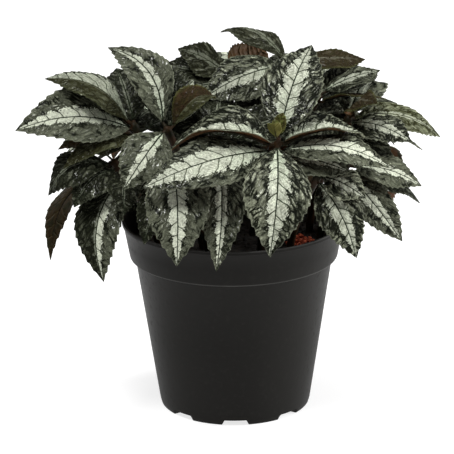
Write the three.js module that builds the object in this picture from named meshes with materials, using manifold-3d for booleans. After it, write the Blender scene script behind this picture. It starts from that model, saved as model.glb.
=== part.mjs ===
// A potted silver-leaved pilea: a black nursery pot, its soil, and leafy stems whose toothed
// blades fill a low dome. Millimetres, +Z up. The origin is under the middle of the pot, on the
// surface that it stands on, and the front of the plant looks along -Y.
import * as THREE from "three";
import { mergeVertices } from "three/addons/utils/BufferGeometryUtils.js";
import Module from "manifold-3d";

const wasm = await Module();
wasm.setup();

// The pot
const POT_SIDES = 32;
const POT_HEIGHT = 104;
const RIM_RADIUS = 60;
const LIP_HEIGHT = 2.2;
const BAND_TOP_RADIUS = 59.2;
const BAND_BOTTOM_RADIUS = 56;
const BAND_BOTTOM_Z = 84;
const BODY_TOP_RADIUS = 53.2;
const BASE_RADIUS = 40.5;
const BASE_ROUNDING = 2.2;
const WALL = 1.3;
const FLOOR_Z = 3;
const FOOT_WIDTH = 2.4;
const FOOT_NOTCHES = 8;
const NOTCH_WIDTH = 11.5;
const DRAIN_RADIUS = 4;
const DRAIN_CIRCLE_RADIUS = 30;

// The soil and the loose bark on it
const GAP = 0.35;
const SOIL_TOP_Z = 92;
const SOIL_BUMP = 1.2;
const BARK_CENTRE = [36, -14];
const BARK_CHIPS = 6;
const BARK_SPREAD = 4.6;

// The leafy stems
const STEM_RADIUS = 2.1;
const STEM_SIDES = 6;
const STEM_STEPS = 6;
const STEM_DEPTH = 14;
const STALK_LENGTH = 4.5;
const STALK_RADIUS = 1.1;
const BLADE_THICKNESS = 0.9;
const CLEAR_THICKNESS = 1.7;
const TOOTH_PROUD = 1.1;
const TOOTH_PLACE = 0.72;
const EDGE_WAVE = 1.2;
const LARGE_LEAF_SEGMENTS = 6;
const DRAWN_LEAF_SEGMENTS = 5;
const SMALL_LEAF_SEGMENTS = 4;
const SMALL_LEAF_WIDTH = 12;

// How far a leaf may be swung aside to clear its neighbours, and by what steps
const SWING_STEP = 4;
const SWING_RINGS = 9;
const SWING_WAYS = 8;
const SAME_STEM_OVERLAP = 0.5;
const SHARED_PART = 0.4;

// A draw from 0 to 1. Each piece that draws has a generator of its own, with its own seed.
function randomFrom(seed) {
  let state = seed >>> 0;
  return () => {
    state = (Math.imul(state, 1664525) + 1013904223) >>> 0;
    return state / 4294967296;
  };
}

const vector = (x, y, z) => new THREE.Vector3(x, y, z);

function solidOf(geometry) {
  const bare = geometry.clone();
  bare.deleteAttribute("normal");
  bare.deleteAttribute("uv");
  const merged = mergeVertices(bare, 1e-4);
  return new wasm.Manifold(
    new wasm.Mesh({
      numProp: 3,
      vertProperties: merged.attributes.position.array,
      triVerts: new Uint32Array(merged.index.array),
    }),
  );
}

function geometryOf(solid) {
  const { vertProperties, triVerts } = solid.getMesh();
  const geometry = new THREE.BufferGeometry();
  geometry.setAttribute("position", new THREE.BufferAttribute(vertProperties, 3));
  geometry.setIndex(new THREE.BufferAttribute(triVerts, 1));
  geometry.computeVertexNormals();
  return geometry;
}

function meshOf(name, solid, colour, roughness) {
  const material = new THREE.MeshStandardMaterial({ color: colour, roughness, metalness: 0 });
  material.name = name;
  const mesh = new THREE.Mesh(geometryOf(solid), material);
  mesh.name = name;
  return mesh;
}

// A profile of [radius, height] points turned about the pot's axis.
function turned(profile, sides) {
  const points = profile.map(([radius, z]) => new THREE.Vector2(radius, z));
  return new THREE.LatheGeometry(points, sides).rotateX(Math.PI / 2);
}

function tube(curve, radius, sides, steps) {
  const section = new THREE.Shape();
  for (let i = 0; i < sides; i++) {
    const turn = (2 * Math.PI * i) / sides;
    const x = radius * Math.cos(turn);
    const y = radius * Math.sin(turn);
    if (i === 0) section.moveTo(x, y);
    else section.lineTo(x, y);
  }
  return new THREE.ExtrudeGeometry(section, { steps, extrudePath: curve });
}

// The pot's outside radius at a height, on the tapered body and on the band under the lip.
function bodyRadius(z) {
  return THREE.MathUtils.mapLinear(z, 0, BAND_BOTTOM_Z, BASE_RADIUS, BODY_TOP_RADIUS);
}

function bandRadius(z) {
  const top = POT_HEIGHT - LIP_HEIGHT;
  return THREE.MathUtils.mapLinear(z, BAND_BOTTOM_Z, top, BAND_BOTTOM_RADIUS, BAND_TOP_RADIUS);
}

function potSolid() {
  const lipZ = POT_HEIGHT - LIP_HEIGHT;
  const outside = [
    [BASE_RADIUS - BASE_ROUNDING, 0],
    [BASE_RADIUS - 0.3 * BASE_ROUNDING, 0.3 * BASE_ROUNDING],
    [bodyRadius(BASE_ROUNDING), BASE_ROUNDING],
    [bodyRadius(BAND_BOTTOM_Z - 1), BAND_BOTTOM_Z - 1],
    [BAND_BOTTOM_RADIUS - 0.8, BAND_BOTTOM_Z],
    [bandRadius(BAND_BOTTOM_Z + 1), BAND_BOTTOM_Z + 1],
    [BAND_TOP_RADIUS, lipZ],
    [RIM_RADIUS, lipZ + 0.5],
    [RIM_RADIUS, POT_HEIGHT - 0.5],
    [RIM_RADIUS - 0.5, POT_HEIGHT],
  ];
  const inside = [
    [RIM_RADIUS - WALL - 0.3, POT_HEIGHT],
    [BAND_TOP_RADIUS - WALL, lipZ - 1],
    [bandRadius(BAND_BOTTOM_Z) - WALL, BAND_BOTTOM_Z + 2],
    [bodyRadius(BAND_BOTTOM_Z) - WALL, BAND_BOTTOM_Z - 1],
    [bodyRadius(FLOOR_Z + WALL) - WALL, FLOOR_Z + WALL],
    [0, FLOOR_Z + WALL],
    [0, FLOOR_Z],
    [BASE_RADIUS - BASE_ROUNDING - FOOT_WIDTH, FLOOR_Z],
    [BASE_RADIUS - BASE_ROUNDING - FOOT_WIDTH, 0],
  ];
  const profile = [...outside, ...inside, outside[0]];
  let pot = solidOf(turned(profile, POT_SIDES));
  for (let i = 0; i < FOOT_NOTCHES; i++) {
    const turn = -Math.PI / 2 + (2 * Math.PI * i) / FOOT_NOTCHES;
    const notch = new THREE.BoxGeometry(12, NOTCH_WIDTH, FLOOR_Z)
      .translate(BASE_RADIUS, 0, FLOOR_Z / 2 - 0.01)
      .rotateZ(turn);
    const drain = new THREE.CylinderGeometry(DRAIN_RADIUS, DRAIN_RADIUS, 4 * WALL, 8)
      .rotateX(Math.PI / 2)
      .translate(DRAIN_CIRCLE_RADIUS, 0, FLOOR_Z)
      .rotateZ(turn);
    pot = pot.subtract(solidOf(notch)).subtract(solidOf(drain));
  }
  return pot;
}

// The soil fills the pot to below its rim, and its top is lightly uneven.
function soilBed() {
  const random = randomFrom(11);
  const bottom = FLOOR_Z + WALL + GAP;
  const edge = (z) => bodyRadius(z) - WALL - GAP;
  const shoulder = BAND_BOTTOM_Z - 1;
  const topRadius = bandRadius(BAND_BOTTOM_Z) - WALL - GAP - 0.2;
  const rings = [0.84, 0.6, 0.38, 0.18].map((part) => [part * topRadius, SOIL_TOP_Z]);
  const profile = [
    [0, bottom],
    [edge(bottom), bottom],
    [edge(shoulder), shoulder],
    [topRadius, BAND_BOTTOM_Z + 3],
    [topRadius, SOIL_TOP_Z - 1],
    ...rings,
    [0, SOIL_TOP_Z],
  ];
  const sides = 16;
  const geometry = turned(profile, sides);
  const place = geometry.attributes.position;
  const lifts = rings.map(() => Array.from({ length: sides }, () => (2 * random() - 1) * SOIL_BUMP));
  for (let i = 0; i < place.count; i++) {
    const ring = (i % profile.length) - (profile.length - 1 - rings.length);
    const column = Math.floor(i / profile.length) % sides;
    if (ring >= 0 && ring < rings.length) place.setZ(i, SOIL_TOP_Z + lifts[ring][column]);
  }
  return solidOf(geometry);
}

// What a stem needs to stand clear in the soil and among the bark.
function withStemHoles(solid, stems) {
  return stems.reduce((rest, { curve }) => {
    return rest.subtract(solidOf(tube(curve, STEM_RADIUS + GAP, STEM_SIDES, STEM_STEPS)));
  }, solid);
}

// Chips of rust-coloured bark, pressed together on the soil.
function barkSolid(bed) {
  const random = randomFrom(23);
  let bark = null;
  for (let i = 0; i < BARK_CHIPS; i++) {
    const turn = 2.4 * i;
    const reach = BARK_SPREAD * Math.sqrt(i / BARK_CHIPS);
    const chip = new THREE.IcosahedronGeometry(2.6 + 1.2 * random(), 0)
      .scale(1.2, 0.85, 0.75)
      .rotateZ(6.28 * random())
      .translate(
        BARK_CENTRE[0] + reach * Math.cos(turn),
        BARK_CENTRE[1] + reach * Math.sin(turn),
        SOIL_TOP_Z + 1.2 + random(),
      );
    const solid = solidOf(chip);
    bark = bark ? bark.add(solid) : solid;
  }
  return bark.subtract(bed.translate([0, 0, GAP]));
}

// The leafy stems. Each has the place where it leaves the soil, its growing tip, and its leaves.
// A leaf has: where on the stem it grows (1 is the top), its tip, the way its upper side looks,
// its width, how far its midrib bows upwards and how far its edges lift, as parts of its length
// and half width. Some also cup: their edges lift more towards the neck, by the part that comes
// next. The last number, where there is one, is how far the midrib sways sideways. "around" adds
// leaves at a compass angle and a rise, in degrees, at a place on the stem, of drawn sizes.
const STEMS = [
  {
    name: "leafy_stem_front",
    root: [14, -22],
    apex: [23, -52, 160],
    leaves: [
      [1.0, [18, -92, 112], [0, -1, 0.4], 34, 0.16, -0.12],
      [1.0, [42, -5, 200], [-0.1, -1, 0.8], 31, 0.08, 0.05],
      [0.99, [-33, -38, 152], [0, -0.1, 1], 30, 0.2, 0.22, 0.5],
      [0.99, [67, -34, 160], [0, -0.1, 1], 28, 0.1, 0.18, 0.6],
      [0.9, [-46, -76, 144], [0, -0.8, 1], 30, 0.12, -0.12],
      [0.9, [80, -60, 149], [0, -0.4, 1], 24, 0.12, -0.12],
      [0.82, [60, -58, 146], [0, -0.8, 1], 20, 0.08, -0.05],
      [1.0, [21, -60, 173], [0, 0.6, 1], 7, 0.1, 0.5],
      [1.0, [26, -47, 175], [0, -0.8, 1], 7, 0.1, 0.5],
    ],
    around: [],
  },
  {
    name: "leafy_stem_front_left",
    root: [-12, -34],
    apex: [-31, -44, 150],
    leaves: [
      [1.0, [-29, -88, 106], [0, -1, 0.5], 32, 0.15, -0.1],
      [0.8, [-46, -70, 112], [-0.3, -1, 0.5], 20, 0.12, -0.1],
    ],
    around: [],
  },
  {
    name: "leafy_stem_left_front",
    root: [-16, -16],
    apex: [-34, -34, 163],
    leaves: [
      [1.0, [-54, -57, 134], [-0.2, -1, 0.5], 27, 0.15, -0.1],
      [1.0, [-65, -6, 200], [0, -1, 0.8], 22, 0.1, 0.05, 0, 0.17],
      [0.98, [-9, -14, 174], [0.2, -0.5, 1], 15, 0.35, 0.4],
      [0.93, [-35, 4, 191], [0, -0.8, 1], 26, 0.12, -0.1],
      [0.97, [-20, 10, 178], [0, -1, 0.7], 22, 0.12, -0.05],
    ],
    around: [],
  },
  {
    name: "leafy_stem_left",
    root: [-32, -2],
    apex: [-52, -8, 158],
    leaves: [
      [1.0, [-98, -12, 185], [0, -0.3, 1], 27, 0.2, -0.1],
      [0.95, [-113, -30, 162], [0, -0.9, 1], 33, 0.12, 0.12],
      [0.88, [-93, 0, 143], [0, 0.8, 0.6], 21, 0.2, -0.1],
      [0.86, [-86, -38, 147], [0, -0.6, 1], 15, 0.2, -0.1],
      [0.97, [-62, 20, 182], [0, -1, 0.7], 26, 0.12, -0.05],
      [0.92, [-12, 4, 164], [0, -0.8, 1], 25, 0.12, -0.1],
    ],
    around: [[130, -10, 0.9], [165, -35, 0.84], [195, -50, 0.76]],
  },
  {
    name: "leafy_stem_low_left",
    root: [-38, -18],
    apex: [-62, -22, 142],
    leaves: [
      [0.95, [-98, -15, 86], [-0.8, 0.75, 0.45], 21, 0.22, -0.1],
      [0.85, [-68, -52, 86], [-0.3, -1, 0.2], 25, 0.12, -0.1, 0, 0.12],
      [1.0, [-97, -28, 126], [-0.3, -0.6, 1], 25, 0.32, -0.15],
      [0.92, [-80, -48, 130], [0, -0.8, 1], 20, 0.2, -0.1],
      [0.8, [-56, -60, 125], [0.2, -1, 0.6], 17, 0.12, -0.1],
      [1.0, [-79, -16, 154], [0, -0.6, 1], 14, 0.2, -0.1],
    ],
    around: [[150, -40, 0.86]],
  },
  {
    name: "leafy_stem_low_right",
    root: [28, -30],
    apex: [44, -44, 140],
    leaves: [
      [0.95, [63, -68, 103], [0.3, -1, 0.4], 24, 0.12, -0.1],
      [1.0, [68, -58, 132], [0.2, -0.8, 1], 20, 0.14, -0.1],
    ],
    around: [],
  },
  {
    name: "leafy_stem_right_front",
    root: [45, -3],
    apex: [60, -18, 138],
    leaves: [
      [0.9, [88, -44, 104], [0.5, -1, 0.5], 23, 0.12, -0.1],
      [1.0, [99, -24, 128], [0.1, -0.5, 1], 22, 0.14, -0.1],
      [0.86, [100, 0, 111], [0.6, -0.2, 1], 19, 0.14, -0.1],
    ],
    around: [[60, -35, 0.84]],
  },
  {
    name: "leafy_stem_right",
    root: [40, 10],
    apex: [62, 6, 157],
    leaves: [
      [1.0, [112, 20, 142], [0, -0.4, 1], 26, 0.15, -0.1],
      [0.88, [100, 14, 129], [0.7, 0.6, 0.6], 22, 0.15, -0.1],
      [1.0, [76, -20, 172], [-0.3, -0.4, 1], 17, 0.2, -0.1],
      [0.94, [94, -16, 150], [0, -0.5, 1], 24, 0.15, -0.1],
      [0.82, [86, -14, 138], [0, -0.8, 1], 24, 0.12, -0.1],
      [0.9, [20, -22, 151], [0, -0.8, 1], 26, 0.12, -0.1],
    ],
    around: [[75, 0, 0.97], [45, -40, 0.84], [5, -50, 0.78]],
  },
  {
    name: "leafy_stem_top_right",
    root: [22, 14],
    apex: [46, 12, 168],
    leaves: [
      [1.0, [79, 14, 181], [0, -0.3, 1], 18, 0.1, -0.1],
      [0.93, [78, 0, 177], [0, 0.3, 1], 20, 0.1, -0.1],
      [0.96, [84, 40, 164], [0, -0.4, 1], 24, 0.15, -0.1],
      [0.9, [20, -14, 160], [0, -0.8, 1], 22, 0.12, -0.1],
    ],
    around: [[80, 0, 1.0], [115, -15, 0.9], [10, -25, 0.8]],
  },
  {
    name: "leafy_stem_top",
    root: [10, 6],
    apex: [31, 20, 184],
    leaves: [
      [1.0, [-6, 54, 193], [0, 0.2, 1], 29, 0.19, -0.2],
      [0.98, [-16, 3, 169], [0, -0.8, 1], 29, 0.12, -0.1],
      [1.0, [73, 32, 177], [0, -0.4, 1], 19, 0.06, -0.1],
      [0.92, [38, 72, 174], [0, 0.3, 1], 26, 0.1, -0.1],
    ],
    around: [[95, -30, 0.78]],
  },
  {
    name: "leafy_stem_top_left",
    root: [-8, 14],
    apex: [0, 32, 172],
    leaves: [
      [1.0, [-29, 34, 189], [0, -0.4, 1], 26, 0.08, -0.1],
      [0.96, [-36, 0, 164], [0, -0.6, 1], 24, 0.15, -0.1],
      [0.94, [19, 52, 188], [0, 1, -0.2], 28, 0.06, -0.1],
      [0.93, [-37, 36, 179], [0, -0.8, 1], 24, 0.12, -0.1],
      [1.0, [2, 80, 170], [0, 0.3, 1], 26, 0.2, -0.1],
      [0.85, [24, 6, 170], [0, -1, 0.8], 28, 0.1, -0.1],
    ],
    around: [[150, -10, 0.92], [185, -15, 0.78]],
  },
  {
    name: "leafy_stem_middle",
    root: [0, -8],
    apex: [-8, -28, 150],
    leaves: [
      [1.0, [-9, -84, 102], [0.1, -1, 0.3], 23, 0.1, -0.05],
      [0.9, [18, -66, 116], [0.4, -1, 0.5], 22, 0.1, -0.1],
      [1.0, [-8, 16, 166], [0, -1, 1], 22, 0.15, -0.1],
      [0.95, [34, -6, 156], [0, -1, 1], 24, 0.15, -0.1],
    ],
    around: [],
  },
  {
    name: "leafy_stem_back_left",
    root: [-24, 20],
    apex: [-40, 35, 150],
    leaves: [
      [1.0, [-50, 2, 158], [0, -1, 1], 28, 0.1, -0.1],
      [0.8, [-14, 8, 138], [0, -1, 0.6], 26, 0.1, -0.1],
      [0.62, [-56, -2, 108], [0, -1, 0.6], 26, 0.1, -0.1],
    ],
    around: [
      [150, 5, 1.0],
      [95, 0, 1.0],
      [190, -15, 0.95],
      [125, -35, 0.88],
      [165, -45, 0.84],
      [60, -15, 0.92],
      [105, -60, 0.78],
    ],
  },
  {
    name: "leafy_stem_back",
    root: [0, 36],
    apex: [2, 43, 146],
    leaves: [
      [0.9, [4, 86, 98], [0, 1, 0.5], 30, 0.12, -0.1],
    ],
    around: [[85, -30, 1.0], [140, -15, 0.95], [35, -15, 0.95], [60, -48, 0.86], [130, -48, 0.84]],
  },
  {
    name: "leafy_stem_back_right",
    root: [26, 34],
    apex: [46, 36, 146],
    leaves: [],
    around: [
      [45, -5, 1.0],
      [95, -10, 1.0],
      [10, -10, 0.95],
      [65, -45, 0.88],
      [20, -45, 0.84],
      [100, -55, 0.8],
    ],
  },
];

// A stem leaves the soil upright and bends towards its growing tip.
function stemCurve({ root, apex }) {
  const foot = vector(root[0], root[1], SOIL_TOP_Z - STEM_DEPTH);
  const top = vector(...apex);
  const rise = top.z - foot.z;
  const above = vector(foot.x, foot.y, foot.z + 0.45 * rise);
  const below = top.clone().lerp(above, 0.35);
  return new THREE.CubicBezierCurve3(foot, above, below, top);
}

// The rows of a stem's leaves, the hand-set ones first, then the drawn ones. Every leaf draws
// where the waves of its edge begin, and how far it sways sideways unless its row says so.
function leafRows(stem, curve, number) {
  const random = randomFrom(100 + number);
  const rows = stem.leaves.map(([at, tip, face, width, bow, fold, cup = 0, sway]) => {
    return { at, tip: vector(...tip), face: vector(...face), width, bow, fold, cup, sway, drawn: false };
  });
  for (const [compass, rise, at] of stem.around) {
    const turn = THREE.MathUtils.degToRad(compass + 16 * (random() - 0.5));
    const lift = THREE.MathUtils.degToRad(rise + 12 * (random() - 0.5));
    const length = STALK_LENGTH + 50 + 14 * random();
    const width = 0.44 * length + 5 * random();
    const bow = 0.12 + 0.1 * random();
    const tip = curve.getPoint(at).addScaledVector(heading(turn, lift), length);
    const face = vector(0.7 * Math.cos(turn), 0.7 * Math.sin(turn), 1);
    rows.push({ at, tip, face, width, bow, fold: -0.1, cup: 0, drawn: true });
  }
  for (const row of rows) {
    const drawnSway = 0.12 * (random() - 0.5);
    row.sway = row.sway ?? drawnSway;
    row.phase = 2 * Math.PI * random();
  }
  return rows;
}

// The direction at a compass angle, from +X towards +Y, and a rise above level.
function heading(turn, lift) {
  return vector(Math.cos(turn) * Math.cos(lift), Math.sin(turn) * Math.cos(lift), Math.sin(lift));
}

// The tries at swinging a leaf clear: as set first, then rings of growing turn about its root.
function swingTries() {
  const tries = [[0, 0]];
  for (let ring = 1; ring <= SWING_RINGS; ring++) {
    for (let way = 0; way < SWING_WAYS; way++) {
      const turn = (2 * Math.PI * way) / SWING_WAYS;
      tries.push([ring * SWING_STEP * Math.cos(turn), ring * SWING_STEP * Math.sin(turn)]);
    }
  }
  return tries;
}

// A leaf's place: where it grows, where its blade begins and ends, and its three directions.
function leafPlace(row, curve, [swing, tilt]) {
  const root = curve.getPoint(row.at);
  const reach = row.tip.clone().sub(root);
  const length = reach.length();
  const level = Math.atan2(reach.y, reach.x) + THREE.MathUtils.degToRad(swing);
  const lift = Math.asin(reach.z / length) + THREE.MathUtils.degToRad(tilt);
  const way = heading(level, lift);
  const tip = root.clone().addScaledVector(way, length);
  const neck = Math.min(STALK_LENGTH, 0.25 * length);
  const base = root.clone().addScaledVector(way, 0.9 * neck);
  base.z += 0.3 * neck;
  const along = tip.clone().sub(base);
  const blade = along.length();
  along.normalize();
  const up = row.face.clone().addScaledVector(along, -row.face.dot(along)).normalize();
  const side = along.clone().cross(up);
  return { root, way, base, tip, along, up, side, blade, row };
}

// Half the blade's width at a part of its length: a wedge at the neck, widest before the
// middle, and a long drawn-out point.
function halfWidth(width, u) {
  return 0.5 * width * 4.12 * Math.pow(u, 0.92) * Math.pow(1 - u, 1.14);
}

// A point of the blade: u runs from the neck to the tip, v is how far out from the midrib in mm.
function bladePoint(place, u, v) {
  const { base, along, up, side, blade, row } = place;
  const lift = 4 * row.bow * u * (1 - u);
  const slope = 4 * row.bow * (1 - 2 * u);
  const normal = up.clone().addScaledVector(along, -slope).normalize();
  const wave = EDGE_WAVE * Math.sin(9 * u + row.phase + (v > 0 ? 2 : 0)) * (2 * v / row.width) ** 2;
  const point = base.clone().addScaledVector(along, blade * u).addScaledVector(up, blade * lift);
  point.addScaledVector(side, v + 4 * row.sway * blade * u * (1 - u));
  point.addScaledVector(normal, (row.fold + row.cup * (1 - u) ** 2) * Math.abs(v) + wave);
  return { point, normal };
}

// How many teeth and cross folds a leaf has along its length.
function leafSegments(row) {
  if (row.width < SMALL_LEAF_WIDTH) return SMALL_LEAF_SEGMENTS;
  return row.drawn ? DRAWN_LEAF_SEGMENTS : LARGE_LEAF_SEGMENTS;
}

// A leaf on its stalk, as one closed skin. Both faces are split into triangles alike, so that
// they never cross however the blade bends. The midrib stands proud below, most at the neck.
function leafGeometry(place, thickness) {
  const { row, root, way, side } = place;
  const small = row.width < SMALL_LEAF_WIDTH;
  const segments = leafSegments(row);
  const half = 0.5 * thickness;
  const tops = [];
  const bottoms = [];
  const put = (point, normal, above, below) => {
    tops.push(point.clone().addScaledVector(normal, above));
    bottoms.push(point.clone().addScaledVector(normal, -below));
    return tops.length - 1;
  };
  const putBlade = (u, v, below) => {
    const { point, normal } = bladePoint(place, u, v);
    return put(point, normal, half, below);
  };
  const stalk = small ? 0.6 * STALK_RADIUS : STALK_RADIUS;
  const stalkNormal = side.clone().cross(way).normalize();
  const putStalk = (v, thick) => put(root.clone().addScaledVector(side, v), stalkNormal, thick, thick);
  const ribs = [putStalk(0, stalk)];
  const right = [putStalk(stalk, 0.6 * stalk)];
  const left = [putStalk(-stalk, 0.6 * stalk)];
  const faces = [];
  for (let i = 0; i < segments; i++) {
    const u = i / segments;
    const notch = Math.max(halfWidth(row.width, u), stalk);
    ribs.push(putBlade(u, 0, half + (stalk - 0.3) * (1 - u) ** 2));
    right.push(putBlade(u, notch, half));
    left.push(putBlade(u, -notch, half));
    if (i === segments - 1) break;
    const toothU = (i + TOOTH_PLACE) / segments;
    const tooth = halfWidth(row.width, toothU) + TOOTH_PROUD;
    right.push(putBlade(toothU, tooth, half));
    left.push(putBlade(toothU, -tooth, half));
  }
  const tip = putBlade(1, 0, half);
  faces.push([ribs[0], right[0], right[1]], [ribs[0], right[1], ribs[1]]);
  faces.push([ribs[0], left[1], left[0]], [ribs[0], ribs[1], left[1]]);
  for (let i = 1; i < segments; i++) {
    const [a, b] = [ribs[i], ribs[i + 1]];
    const [r0, r1, r2] = right.slice(2 * i - 1, 2 * i + 2);
    const [l0, l1, l2] = left.slice(2 * i - 1, 2 * i + 2);
    faces.push([a, r0, r1], [a, r1, r2], [a, r2, b], [a, l1, l0], [a, l2, l1], [a, b, l2]);
  }
  faces.push([ribs.at(-1), right.at(-1), tip], [ribs.at(-1), tip, left.at(-1)]);
  const outline = [ribs[0], ...right, tip, ...left.toReversed()];
  const count = tops.length;
  const index = [];
  for (const [a, b, c] of faces) index.push(a, b, c, a + count, c + count, b + count);
  outline.forEach((a, i) => {
    const b = outline[(i + 1) % outline.length];
    index.push(b, a, a + count, b, a + count, b + count);
  });
  const corners = [...tops, ...bottoms].flatMap((p) => [p.x, p.y, p.z]);
  const geometry = new THREE.BufferGeometry();
  geometry.setAttribute("position", new THREE.Float32BufferAttribute(corners, 3));
  geometry.setIndex(index);
  return geometry;
}

function boxesMeet(a, b) {
  return [0, 1, 2].every((k) => a.min[k] < b.max[k] && b.min[k] < a.max[k]);
}

const pot = potSolid();
const stems = STEMS.map((stem, number) => {
  const curve = stemCurve(stem);
  const rows = leafRows(stem, curve, number);
  return { name: stem.name, curve, rows, solid: solidOf(tube(curve, STEM_RADIUS, STEM_SIDES, STEM_STEPS)) };
});
const bed = soilBed();
const soil = withStemHoles(bed, stems);

// Leaves are bent clear one after another, all the hand-set ones first: each takes the first
// try in which it meets no other stem, no leaf of another stem, and neither pot nor soil. A
// drawn leaf that finds no room is left out.
const obstacles = [pot, soil].map((solid) => ({ solid, box: solid.boundingBox(), owner: null }));
for (const stem of stems) {
  obstacles.push({ solid: stem.solid, box: stem.solid.boundingBox(), owner: stem });
}
const tries = swingTries();

// On one stem the leaves may touch near it, so only their parts outside this ball are tried.
function outerPart(solid, place) {
  const radius = SHARED_PART * place.blade;
  return solid.subtract(solidOf(new THREE.IcosahedronGeometry(radius, 1).translate(...place.root)));
}

function isClear(place, stem) {
  const thick = solidOf(leafGeometry(place, CLEAR_THICKNESS));
  const outer = outerPart(thick, place);
  const box = thick.boundingBox();
  return obstacles.every(({ solid, box: other, owner, leaf }) => {
    if (!boxesMeet(box, other) || (owner === stem && !leaf)) return true;
    if (owner === stem) return outer.intersect(leaf).volume() <= SAME_STEM_OVERLAP;
    return thick.intersect(solid).volume() === 0;
  });
}

function growLeaf(stem, row) {
  const places = tries.map((swing) => leafPlace(row, stem.curve, swing));
  const place = places.find((candidate) => isClear(candidate, stem));
  if (!place && row.drawn) return;
  if (!place) throw new Error("a hand-set leaf of " + stem.name + " has no clear place");
  const solid = solidOf(leafGeometry(place, BLADE_THICKNESS));
  const leaf = outerPart(solid, place);
  obstacles.push({ solid, box: solid.boundingBox(), owner: stem, leaf });
  stem.solid = stem.solid.add(solid);
}

for (const drawn of [false, true]) {
  for (const stem of stems) {
    for (const row of stem.rows) {
      if (row.drawn === drawn) growLeaf(stem, row);
    }
  }
}

const group = new THREE.Group();
group.name = "potted_silver_pilea";
group.add(meshOf("pot", pot, 0x2b2b29, 0.5));
group.add(meshOf("potting_soil", soil, 0x1c1612, 0.95));
group.add(meshOf("bark_chips", withStemHoles(barkSolid(bed), stems), 0x9a3a1c, 0.9));
for (const stem of stems) group.add(meshOf(stem.name, stem.solid, 0x6f8272, 0.5));

export default group;
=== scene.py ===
# %% [markdown]
# # A potted silver-leaved pilea
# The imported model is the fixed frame: a black nursery pot, its soil, a clump of bark and fifteen
# leafy stems, all in metres with +Z up and the front of the plant towards -Y. This lesson dresses
# it with finer pieces: smooth quilted leaves with fine teeth, silver bands and dark veins, round
# stalks, crumbly soil and a smooth moulded pot.

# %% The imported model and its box
import math
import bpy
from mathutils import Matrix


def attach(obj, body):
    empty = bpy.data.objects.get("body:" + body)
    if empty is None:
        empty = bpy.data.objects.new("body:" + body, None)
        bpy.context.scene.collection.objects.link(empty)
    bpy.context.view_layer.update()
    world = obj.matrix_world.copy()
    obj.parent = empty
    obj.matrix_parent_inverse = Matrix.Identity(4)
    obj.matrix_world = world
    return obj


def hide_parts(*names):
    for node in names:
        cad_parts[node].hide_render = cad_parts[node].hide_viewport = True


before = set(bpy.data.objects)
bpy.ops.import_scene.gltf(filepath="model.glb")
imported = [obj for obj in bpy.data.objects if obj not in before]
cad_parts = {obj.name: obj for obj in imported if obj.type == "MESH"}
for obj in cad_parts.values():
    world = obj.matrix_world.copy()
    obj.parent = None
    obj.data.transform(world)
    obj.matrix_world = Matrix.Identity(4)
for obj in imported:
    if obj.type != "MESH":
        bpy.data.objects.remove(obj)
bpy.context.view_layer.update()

from types import SimpleNamespace
import bmesh
import bpy
import numpy as np
from mathutils import Euler, Matrix, Vector, kdtree, noise

MM = 0.001
print("nodes in the frame:", len(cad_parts))

# %% [markdown]
# ## The camera
# A picture of a small object is taken from some way off with a long lens, so its lines stay calm.
# The rim and the foot of the pot are ellipses, and how round they are gives the angle: the camera
# looks down by about twenty degrees. It aims a little above the pot, because the plant is up
# there, and it leans by half a degree, as a camera held by hand does.

# %% The camera
LOOK_DOWN = math.radians(19.6)
DISTANCE = 1.5
POT_MIDDLE = Vector((0, 0, 0.05))
AIM_UP = math.radians(1.768)
AIM_LEFT = math.radians(0.143)
LEAN = math.radians(-0.6)
sight = Vector((0, math.cos(LOOK_DOWN), -math.sin(LOOK_DOWN)))
camera_data = bpy.data.cameras.new("camera")
camera_data.lens = 218.9
camera_data.sensor_width = 36
camera = bpy.data.objects.new("camera", camera_data)
camera.location = POT_MIDDLE - sight * DISTANCE
tilt = Euler((math.pi / 2 - LOOK_DOWN + AIM_UP, 0, AIM_LEFT)).to_matrix()
camera.rotation_euler = (tilt @ Matrix.Rotation(LEAN, 3, "Z")).to_euler()
bpy.context.scene.collection.objects.link(camera)
bpy.context.scene.camera = camera
print("camera at", [round(c, 3) for c in camera.location])

# %% [markdown]
# ## Shader maths as plain expressions
# A material's pattern is a formula. Wiring it by hand in the node editor works too, but a formula
# is easier to read as code, so a small class wraps a socket and turns + - * / into Math nodes.
# One method makes every other kind of node. A Mix node has sockets of the same name for each kind
# of value, so its colour sockets are found by number.

# %% A socket that can be added and multiplied
MIX_LOW, MIX_HIGH, MIX_RESULT = 6, 7, 2


class Value:
    def __init__(self, finish, socket):
        self.finish = finish
        self.socket = socket

    def maths(self, operation, first, second=0.0):
        return self.finish.maths(operation, first, second)

    def __add__(self, other):
        return self.maths("ADD", self, other)

    def __sub__(self, other):
        return self.maths("SUBTRACT", self, other)

    def __mul__(self, other):
        return self.maths("MULTIPLY", self, other)

    def __truediv__(self, other):
        return self.maths("DIVIDE", self, other)

    def __rsub__(self, other):
        return self.maths("SUBTRACT", other, self)

    def __abs__(self):
        return self.maths("ABSOLUTE", self)

    __radd__ = __add__
    __rmul__ = __mul__

    def fraction(self):
        return self.maths("FRACT", self)

    def smooth(self, low, high):
        settings = {"interpolation_type": "SMOOTHSTEP"}
        inputs = {"Value": self, "From Min": low, "From Max": high}
        return self.finish.node("ShaderNodeMapRange", settings, inputs)


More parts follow.
